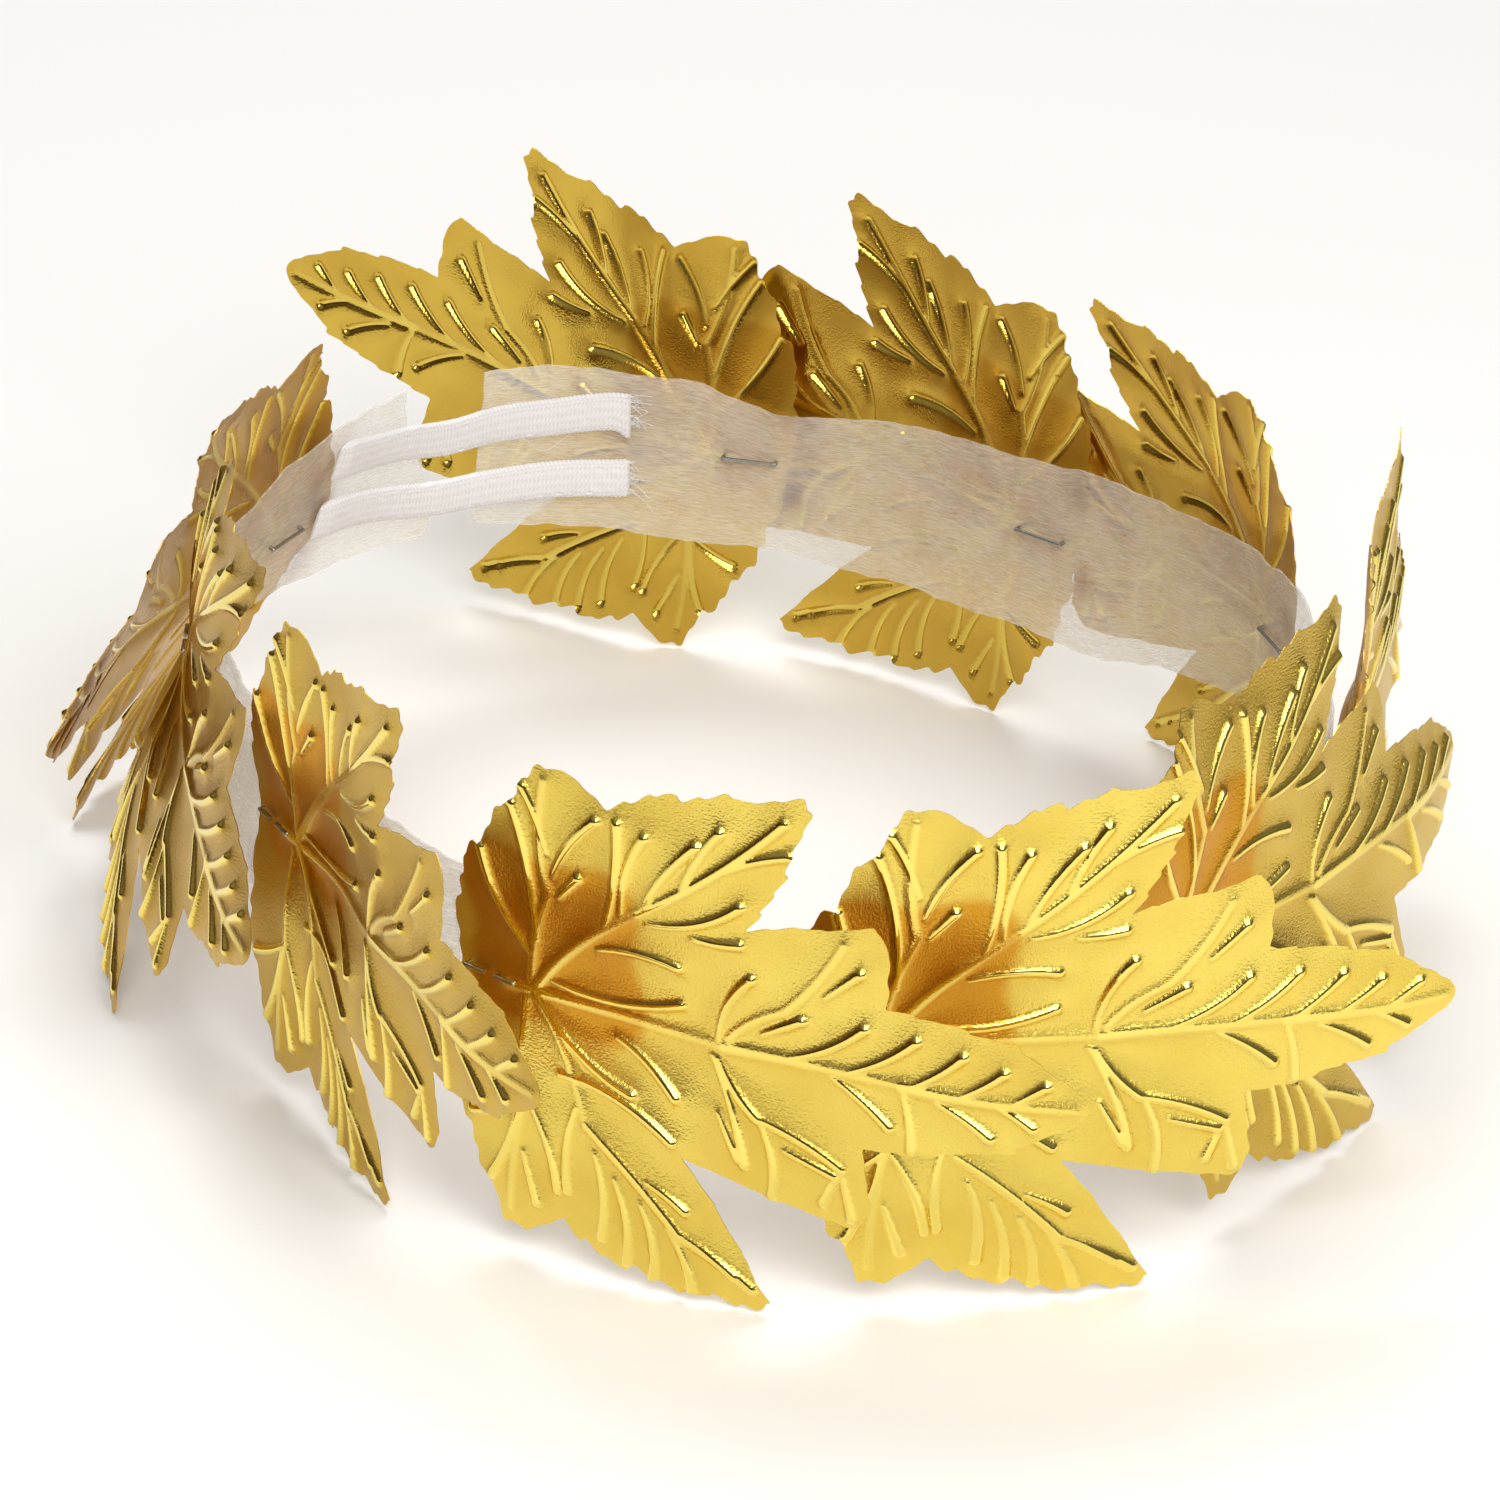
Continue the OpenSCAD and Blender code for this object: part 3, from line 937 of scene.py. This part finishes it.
@dataclass
class FoilLeaves:
    """Ten leaves bent from one blank, each with dents of its own."""

    form: LeafForm
    blank: LeafBlank
    outer: GoldFoil
    inner: GoldFoil
    foil_mm: float = 0.16
    smooth_above_mm: float = 0.58
    smooth_over_mm: float = 0.3
    # Painted shade for each leaf: deepest on the leaves at the sides, least on the front ones
    painted_side_shade: tuple[float, ...] = (0.9, 0.75, 0.6, 0.05, 0.0, 0.5, 0.6, 0.3, 0.2, 0.05)
    glow_mm: float = 17.0
    glow_edge_mm: float = 2.5
    glow_middle: Pair = (3, 9)
    glow_lobes_mm: float = 2.5
    glow: float = 0.85
    dent_mm: float = 0.5
    dent_waves: int = 6
    dent_wave_mm: Pair = (28, 60)
    calm_mm: float = 8
    seed: int = 31

    def dents(self, rng: np.random.Generator, flat: Array) -> Array:
        """Shallow dents from handling.

        Args:
            rng: The leaf's own random numbers.
            flat: Places on the flat leaf.

        Returns:
            Distance out of the surface.
        """
        total = np.zeros(len(flat))
        for _ in range(self.dent_waves):
            ahead = turned(np.array([1.0, 0.0]), rng.uniform(0, 360))
            wave = 2 * math.pi / rng.uniform(*self.dent_wave_mm)
            total += np.sin(flat @ ahead * wave + rng.uniform(0, 2 * math.pi))
        from_staple = np.hypot(flat[:, 0] + self.calm_mm, flat[:, 1] / 2)
        free = ease((from_staple - self.calm_mm) / (2 * self.calm_mm))
        return total / self.dent_waves * 2 * self.dent_mm * free

    def painted_root_reflection(self, flat: Array) -> Array:
        """A painted reflection where the trough at the root mirrors gold in gold, which deepens its colour
        to orange.

        Args:
            flat: Places on the flat leaf.

        Returns:
            How orange each place is, from 0 to 1.
        """
        u, v = flat[:, 0] - self.glow_middle[0], flat[:, 1] - self.glow_middle[1]
        away = np.hypot(u, v) + self.glow_lobes_mm * np.cos(4 * np.arctan2(v, u))
        return self.glow * ease((self.glow_mm - away) / self.glow_edge_mm)

    def build(self) -> None:
        """Bends the ten leaves and dresses them."""
        flat, triangles, relief = self.blank.mesh()
        feet, level = self.form.feet(), self.form.level()
        outer, inner = self.outer.material(), self.inner.material()
        for i, foot in enumerate(feet):
            rng = np.random.default_rng(self.seed + i)
            name = f"leaf_{i + 1:02d}"
            mesh = bpy.data.meshes.new("foil_" + name)
            points = self.form.point(i, flat, relief + self.dents(rng, flat), foot - level) + (0, 0, foot)
            mesh.from_pydata((points * MM).tolist(), [], triangles)
            leaf = bpy.data.objects.new("foil_" + name, mesh)
            bpy.context.scene.collection.objects.link(leaf)
            self.face_outwards(leaf)
            set_flat_map(leaf, flat / self.outer.sheet_mm + 0.5)
            # The crest share makes the crests glossier and also carries their painted highlight
            set_share(leaf, "rib_crest", ease((relief - self.smooth_above_mm) / self.smooth_over_mm))
            # Painted shade, by how far the leaf is turned from the light
            set_share(leaf, "painted_side_shade", np.full(len(flat), self.painted_side_shade[i]))
            set_share(leaf, "painted_root_reflection", self.painted_root_reflection(flat))
            mesh.materials.append(outer)
            mesh.materials.append(inner)
            thicken(leaf, self.foil_mm)
            finish_piece(leaf, "gold_foil", name)

    @staticmethod
    def face_outwards(leaf: Piece) -> None:
        """Turns the sheet's faces to the outside of the ring.

        Args:
            leaf: The leaf before it has its wall.
        """
        centres, normals = (vectors(leaf.data.polygons, name)[:, :2] for name in ("center", "normal"))
        if (centres * normals).sum() < 0:
            leaf.data.flip_normals()


@dataclass
class FabricBand:
    """The non-woven strip inside the leaves, with a soft wavy edge and two cut ends."""

    form: LeafForm
    finish: NonwovenFabric
    height: float = 30
    solid_t: float = 1
    back_gap: float = 11
    back_off: float = 3
    cloth_t: float = 0.35
    step_along: float = 1.2
    cells_across: int = 22
    first_slant: float = 9
    first_step: float = 2.6
    first_step_share: float = 0.06
    first_round: float = 3
    first_round_share: float = 0.14
    first_reach: float = 18
    first_ripple: float = 0.3
    last_round: float = 1.5
    last_round_share: float = 0.08
    last_reach: float = 10
    last_ripple: float = 0.4
    ripples: int = 7
    cut_waves: Pair = (9, 3)
    # Longest wave, shortest wave and height
    upper_waves: Rows = ((90, 30, 0.7), (14, 4, 0.25))
    lower_waves: Rows = ((80, 25, 0.8), (12, 4, 0.25))
    slack_mm: float = 0.28
    slack_waves: Pair = (34, 12)
    # Degrees beside the staple, and height
    spots: Rows = ((-4, 7), (-5, -9))
    spot_mm: float = 2.4
    spot_grey: float = 0.6
    degree_mm: float = 1.7
    spot_flat: float = 0.8
    seed: int = 5

    def ends(self) -> Pair:
        """The angles at which the strip starts and ends.

        Returns:
            The first angle, and the last one a whole turn on.
        """
        rows, ring = self.form.ring.leaf_rows(), self.form.ring
        middle = (rows[0][0] + rows[-1][0] - 360) / 2
        back = middle + self.back_off / ring.speed(middle)
        half = self.back_gap / 2 / ring.speed(back)
        return back + half, back - half + 360

    def ripple(self, rng: np.random.Generator, x: Array, longest: float, shortest: float) -> Array:
        """A seeded ripple along the strip, from about -1 to 1, of waves between two lengths."""
        waves = rng.uniform(shortest, longest, self.ripples)
        return sum(np.sin(math.tau * x / w + rng.uniform(0, math.tau)) for w in waves) * 2 / self.ripples

    def cut_ends(self, rng: np.random.Generator, x: Array, r: Array, length: float) -> Array:
        """Moves the strip's ends to their cuts: one stepped and rounded below, and one nearly straight.

        Args:
            rng: Seeded random numbers.
            x: Millimetres along the strip.
            r: The share across it.
            length: The strip's length.

        Returns:
            Millimetres along the strip after the cut.
        """
        above = r - 0.5
        first = self.first_slant * above + self.first_step * ease(above / self.first_step_share)
        first = first + self.first_round * np.clip(1 - r / self.first_round_share, 0, 1) ** 2
        first = first + self.first_ripple * self.ripple(rng, r * self.height, *self.cut_waves)
        last = self.last_ripple * self.ripple(rng, r * self.height, *self.cut_waves)
        last = last + self.last_round * np.clip(1 - r / self.last_round_share, 0, 1) ** 2
        near_first = np.clip(1 - x / self.first_reach, 0, 1)
        near_last = np.clip(1 - (length - x) / self.last_reach, 0, 1)
        return x + first * near_first - np.maximum(last, 0) * near_last

    def build(self) -> None:
        """Cuts the strip, lays it inside the leaves and dresses it."""
        rng = np.random.default_rng(self.seed)
        ring, level = self.form.ring, self.form.level()
        start, end = self.ends()
        dense = np.linspace(start, end, 400)
        run = np.concatenate([[0], np.cumsum(ring.paces(dense))])
        length = float(run[-1])
        band, s, r = flat_cloth("nonwoven_band", round(length / self.step_along), self.cells_across)
        x = s * length
        upper, lower = (sum(self.ripple(rng, x, *wave[:2]) * wave[2] for wave in waves)
                        for waves in (self.upper_waves, self.lower_waves))
        x = self.cut_ends(rng, x, r, length)
        t = np.interp(x, run, dense) + np.minimum(x, 0) * (dense[1] - dense[0]) / run[1]
        middle = eased(BAND_ROWS, 1, t) / 100 * self.height
        half = eased(BAND_ROWS, 2, t) / 100 * self.height / 2
        up = middle + (2 * r - 1) * half + upper * r + lower * (1 - r)
        slack = self.ripple(rng, x + 9 * r, *self.slack_waves)
        out = -self.solid_t / 2 + self.slack_mm * slack * (0.4 + 1.2 * np.abs(r - 0.5))
        set_points(band, ring.beside(t, out, up, level))
        set_flat_map(band, np.stack([x, r * self.height], -1) / self.finish.strip_mm)
        set_share(band, "painted_shadow_spot", self.painted_shadow_spots(t, up))
        band.data.materials.append(self.finish.material())
        thicken(band, self.cloth_t)
        finish_piece(band, "nonwoven", "band")

    def painted_shadow_spots(self, t: Array, up: Array) -> Array:
        """Soft grey spots of painted shadow beside each leaf's staple.

        Args:
            t: Angles on the ring.
            up: Height on the band.

        Returns:
            How grey each place is, from 0 to 1.
        """
        grey = np.zeros(len(t))
        for i in range(len(BENDS)):
            at = self.form.staple_at(i)
            for side, high in self.spots:
                away = np.hypot((t - at - side) * self.degree_mm, (up - high) * self.spot_flat)
                grey = np.maximum(grey, self.spot_grey * np.exp(-(away / self.spot_mm) ** 2))
        return grey


@dataclass
class ElasticStrap:
    """One of the two flat knitted elastics across the opening at the back."""

    band: FabricBand
    finish: KnittedElastic
    side: Side
    height: float = 6.5
    thickness: float = 2.1
    pitch: float = 12
    short_last: float = 16
    short_first: float = 2.2
    staple_w: float = 9.5
    step_along: float = 0.26
    cells_round: int = 44
    wale_mm: float = 1.05
    course_mm: float = 0.75
    knit_h: float = 0.1
    edge_loop_h: float = 0.22
    puff_mm: float = 0.35
    puff_waves: Pair = (5, 1.5)
    uneven_waves: Pair = (40, 14)
    close_cut_mm: float = 0.8
    close_far_mm: float = 2.6
    bulge_mm: float = 4
    bulge_deep: float = 0.25
    bulge_high: float = 0.1
    tab_mm: float = 1.8
    tab_high: float = 0.2
    tab_drop: float = 0.9
    seed: int = 11

    def ends(self) -> Pair:
        """The angles at which the strap starts and ends.

        Returns:
            The angle at its cut end, and the one at its far end.
        """
        form, ring = self.band.form, self.band.form.ring
        at_last, at_first = form.staple_at(len(BENDS) - 1) - 360, form.staple_at(0)
        first = at_last + (self.staple_w / 2 + self.short_last) / ring.speed(at_last)
        last = at_first - (self.staple_w / 2 + self.short_first) / ring.speed(at_first)
        return first, last

    def middle(self, t: Array) -> Array:
        """The height of the strap's middle above the ring's."""
        return self.side.value * self.pitch / 2 + eased(STRAP_ROWS, 1, t) / 100 * self.pitch

    def section(self, x: Array, r: Array, length: float) -> tuple[Array, Array, Array]:
        """Rolls the flat grid into the strap's soft oval section, with the knit on its faces.

        Args:
            x: Millimetres along the strap.
            r: The share round its section.
            length: The strap's length.

        Returns:
            Distances across and out from the strap's middle, and the height of the knit.
        """
        # The cosine is pressed out towards the strap's two flat faces
        turn = 2 * math.pi * r
        across = np.sign(np.sin(turn)) * np.abs(np.sin(turn)) ** 0.8 * self.height / 2
        deep = np.sign(np.cos(turn)) * np.abs(np.cos(turn)) ** 0.7 * self.thickness / 2
        wale = np.abs((across / self.wale_mm + 0.5) % 1 - 0.5)
        chevron = np.cos(2 * math.pi * (x / self.course_mm + wale))
        loops = 0.5 + 0.5 * np.cos(2 * math.pi * x / self.course_mm)
        face = ease(np.abs(deep) / self.thickness * 3)
        knit = self.knit_h * (chevron * 0.6 + np.cos(2 * math.pi * wale * 2) * 0.4)
        open_end = np.minimum(x / self.close_cut_mm, (length - x) / self.close_far_mm)
        closing = np.sqrt(np.clip(open_end, 0.02, 1))
        # The far end swells into a soft bulge before it closes, and the whole length is a little uneven
        bulge = np.exp(-((length - x - self.bulge_mm) / self.bulge_mm) ** 2)
        rng = np.random.default_rng(self.seed + self.side.value)
        uneven = self.band.ripple(rng, x, *self.uneven_waves)
        rng = np.random.default_rng(self.seed + 3 * self.side.value)
        soft = self.band.ripple(rng, x + 6 * across, *self.puff_waves)
        raised = np.sign(deep) * (knit + self.puff_mm * 0.25 * soft) * face
        deep = deep * (1 + self.bulge_deep * bulge) + raised
        across = (across * (0.9 + 0.1 * closing) * (1 + self.bulge_high * bulge)
                  + np.sign(across) * (1 - face) * self.edge_loop_h * loops)
        # The upper strap's cut end is pressed wider and turned down a little
        tab = np.exp(-(x / self.tab_mm) ** 2) * (self.side is Side.UPPER)
        across = across * (1 + self.tab_high * tab) - self.tab_drop * tab + self.puff_mm * 0.5 * uneven
        return across, deep * closing, knit

    def build(self) -> Piece:
        """Knits the strap in its place and dresses it.

        Returns:
            The strap.
        """
        ring = self.band.form.ring
        first, last = self.ends()
        length = float(ring.paces(np.linspace(first, last, 200)).sum())
        node = self.side.name.lower() + "_strap"
        strap, s, r = flat_cloth("knitted_" + node, round(length / self.step_along), self.cells_round)
        x = s * length
        across, deep, knit = self.section(x, r, length)
        t = first + (last - first) * s
        out = -(self.band.solid_t + self.thickness / 2) + deep
        set_points(strap, ring.beside(t, out, self.middle(t) + across, self.band.form.level()))
        set_flat_map(strap, np.stack([x, r * 2 * self.height], -1) / self.finish.strip_mm)
        # Painted shade in the knit's furrows
        set_share(strap, "furrow", np.clip(0.5 - knit / self.knit_h * 0.5, 0, 1))
        strap.data.materials.append(self.finish.material())
        self.close(strap)
        finish_piece(strap, "elastic", node, smooth=60)
        return strap

    @staticmethod
    def close(strap: Piece) -> None:
        """Joins the strap's long seam, fills its two ends and turns its faces outwards.

        Args:
            strap: The rolled strip.
        """
        select_only(strap)
        bpy.ops.object.mode_set(mode="EDIT")
        bpy.ops.mesh.select_all(action="SELECT")
        bpy.ops.mesh.remove_doubles(threshold=0.01 * MM)
        bpy.ops.mesh.fill_holes(sides=0)
        bpy.ops.mesh.select_all(action="SELECT")
        bpy.ops.mesh.normals_make_consistent(inside=False)
        bpy.ops.object.mode_set(mode="OBJECT")


@dataclass
class LooseThreads:
    """Frayed ends of the elastics' yarn, and one pulled loop between the two straps."""

    strap: ElasticStrap
    finish: Material
    yarn_mm: float = 0.16
    count: int = 40
    steps: int = 9
    short_share: float = 0.9
    short_mm: Pair = (0.6, 1.7)
    long_mm: Pair = (2, 4)
    rooted_mm: float = 0.8
    spread: Pair = (-0.46, 0.46)
    droop: Pair = (-1.6, 0.5)
    wave_mm: Pair = (0.05, 0.3)
    out_mm: float = 2.0
    depth_mm: Pair = (-0.6, 0.8)
    loop_steps: int = 30
    loop_from: float = 9
    loop_run: float = 11
    loop_drop: float = 4.2
    seed: int = 3

    def thread(self, curve: bpy.types.Curve, points: Array) -> None:
        """Adds one thread to the curve.

        Args:
            curve: The curve that holds the tuft.
            points: Millimetres along it.
        """
        spline = curve.splines.new("POLY")
        spline.points.add(len(points) - 1)
        for k, point in enumerate(points):
            spline.points[k].co = (*(point * MM), 1)
            spline.points[k].radius = 1 - 0.5 * k / len(points)

    def loop(self, rise: float) -> tuple[Array, Array, Array]:
        """The thread that is pulled out below the upper strap.

        Args:
            rise: Height of the strap's middle.

        Returns:
            Millimetres from the cut, out and up.
        """
        s = np.linspace(0, 1, self.loop_steps)
        sag = self.loop_drop * np.sin(math.pi * np.minimum(s * 1.1, 1)) ** 1.3 * (0.5 + s) / 1.3
        up = rise - self.strap.height / 2 + 0.2 - sag
        return self.loop_from + self.loop_run * s, -self.out_mm + 0.6 * np.sin(s * 5), up

    def build(self) -> None:
        """Frays the strap's cut end."""
        side, ring, level = self.strap.side, self.strap.band.form.ring, self.strap.band.form.level()
        rng = np.random.default_rng(self.seed + side.value)
        cut_t = self.strap.ends()[0]
        rise = float(self.strap.middle(np.array([cut_t]))[0])
        speed = ring.speed(cut_t)
        deselect_all()
        bpy.ops.curve.primitive_bezier_curve_add()
        curve = just_added(f"frayed_{side.name.lower()}_end").data
        curve.splines.clear()
        curve.bevel_depth = self.yarn_mm / 2 * MM
        curve.bevel_resolution = 1
        curve.use_fill_caps = True
        s = np.linspace(0, 1, self.steps)
        for _ in range(self.count):
            span = self.short_mm if rng.random() < self.short_share else self.long_mm
            reach = rng.uniform(*span)
            start = rng.uniform(*self.spread) * self.strap.height
            drop = rng.uniform(*self.droop) * reach * 0.8
            wave = rng.uniform(*self.wave_mm) * np.sin(s * rng.uniform(2, 6) + rng.uniform(0, 6))
            x = self.rooted_mm - s * (reach + self.rooted_mm) + wave
            up = rise + start + drop * s ** 2 + wave
            out = -self.out_mm - rng.uniform(*self.depth_mm) * (1 - 0.5 * s) + 0.3 * s
            self.thread(curve, ring.beside(cut_t + x / speed, out, up, level))
        if side is Side.UPPER:
            x, out, up = self.loop(rise)
            self.thread(curve, ring.beside(cut_t + x / speed, out, up, level))
        bpy.ops.object.convert(target="MESH")
        tuft = bpy.context.object
        tuft.data.materials.clear()
        tuft.data.materials.append(self.finish)
        finish_piece(tuft, "elastic", smooth=80)


@dataclass
class Staples:
    """The ten wire staples, which keep their CAD meshes."""

    finish: StapleWire

    def dress(self) -> None:
        """Gives each staple its wire."""
        wire = self.finish.material()
        for i in range(len(BENDS)):
            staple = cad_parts[f"staple_{i + 1:02d}"]
            staple.data.materials.clear()
            staple.data.materials.append(wire)
            LOG.info("%s dressed", staple.name)


@dataclass(frozen=True)
class Studio:
    """A pale floor, soft light and a camera at the photograph's angle."""

    lens_mm: float = 172
    distance: float = 1083
    down: float = 26.8
    heading: float = 65.9
    roll: float = 1.7
    look: Triple = (-4.0, -10.6, 39.8)
    sensor_mm: float = 36
    floor_m: float = 8.0
    floor_drop_mm: float = 0.3
    left: str = "#6E4A24"
    right: str = "#9A968C"
    above: str = "#E6E2DC"
    room_light: float = 0.4
    aim: Triple = (0, 0, 0.04)

    def camera(self) -> None:
        """Sets up the camera."""
        el, az, roll = (math.radians(a) for a in (self.down, self.heading, self.roll))
        ahead = Vector((math.cos(el) * math.cos(az), math.cos(el) * math.sin(az), -math.sin(el)))
        level_right = Vector((math.sin(az), -math.cos(az), 0))
        level_up = level_right.cross(ahead)
        right = level_right * math.cos(roll) + level_up * math.sin(roll)
        up = level_up * math.cos(roll) - level_right * math.sin(roll)
        eye = Vector(self.look) * MM - ahead * self.distance * MM
        deselect_all()
        bpy.ops.object.camera_add()
        camera = just_added("photo_view")
        camera.data.lens = self.lens_mm
        camera.data.sensor_width = self.sensor_mm
        camera.data.clip_start = 0.05
        camera.data.dof.use_dof = False
        camera.matrix_world = Matrix.Translation(eye) @ Matrix((right, up, -ahead)).transposed().to_4x4()
        bpy.context.scene.camera = camera

    def soft_light(self, name: str, place: Triple, size: Pair, watts: float) -> None:
        """Hangs a soft box that faces the crown.

        Args:
            name: The light's name.
            place: Where it hangs, in metres.
            size: Its two sides, in metres.
            watts: Its power.
        """
        deselect_all()
        bpy.ops.object.light_add(type="AREA", location=place)
        light = just_added(name)
        light.data.shape = "RECTANGLE"
        light.data.size, light.data.size_y = size
        light.data.energy = watts
        light.rotation_mode = "QUATERNION"
        light.rotation_quaternion = (Vector(self.aim) - Vector(place)).to_track_quat("-Z", "Y")

    def floor(self) -> None:
        """Lays the pale floor just under the crown."""
        deselect_all()
        bpy.ops.mesh.primitive_plane_add(size=self.floor_m, location=(0, 0, -self.floor_drop_mm * MM))
        floor = just_added("paper_floor")
        bpy.ops.object.transform_apply(location=True, rotation=False, scale=False)
        floor.data.materials.append(StudioPaper().material())

    def room(self, world: bpy.types.World) -> None:
        """Paints the room round the crown: warm and dim on the left, grey on the right and pale above.

        Args:
            world: The scene's world.
        """
        way = add_node(world, "TexCoord").outputs["Generated"]
        az = math.radians(self.heading)
        to_right = (math.sin(az), -math.cos(az), 0)
        shade = linear(self.left)
        walls = ((to_right, -0.5, 0.6, self.right), ((0, 0, 1), 0.1, 0.9, self.above))
        for axis, low, high, colour in walls:
            facing = add_node(world, "VectorMath", {"operation": "DOT_PRODUCT"}, {0: way, 1: axis})
            share = add_node(world, "MapRange", {"interpolation_type": "SMOOTHSTEP"}, {
                "Value": facing.outputs["Value"], "From Min": low, "From Max": high})
            shade = add_node(world, "Mix", OF_COLOURS, {0: share, 6: shade, 7: linear(colour)}).outputs[2]
        background = world.node_tree.nodes["Background"]
        world.node_tree.links.new(shade, background.inputs["Color"])
        background.inputs["Strength"].default_value = self.room_light

    def build(self) -> None:
        """Builds the studio."""
        self.floor()
        self.camera()
        self.soft_light("key_box", (-0.1, -0.78, 0.8), (1.0, 0.8), 12)
        self.soft_light("top_box", (0.2, 0.9, 1.4), (1.2, 0.8), 14)
        world = bpy.data.worlds.new("room")
        bpy.context.scene.world = world
        world.use_nodes = True
        self.room(world)
        bpy.context.scene.view_settings.view_transform = "Standard"


def main() -> None:
    """Builds the studio, and then the crown's pieces in order."""
    logging.basicConfig(level=logging.INFO, format="%(name)s: %(message)s")
    form = LeafForm()
    Studio().build()
    FoilLeaves(
        form, LeafBlank(form), GoldFoil(),
        GoldFoil(name="deeper gold foil, inner face", light="#DDBE52", deep="#C9A340", orange="#B98A2A",
                 painted_crest_highlight="#E0C75F", roughness=0.26, crest_roughness=0.08, grain_depth_mm=0.025),
    ).build()
    band = FabricBand(form, NonwovenFabric())
    band.build()
    elastic = KnittedElastic()
    for side in Side:
        strap = ElasticStrap(band, elastic, side)
        knitted = strap.build()
        LooseThreads(strap, knitted.data.materials[0]).build()
    Staples(StapleWire()).dress()


if __name__ == "__main__":
    main()
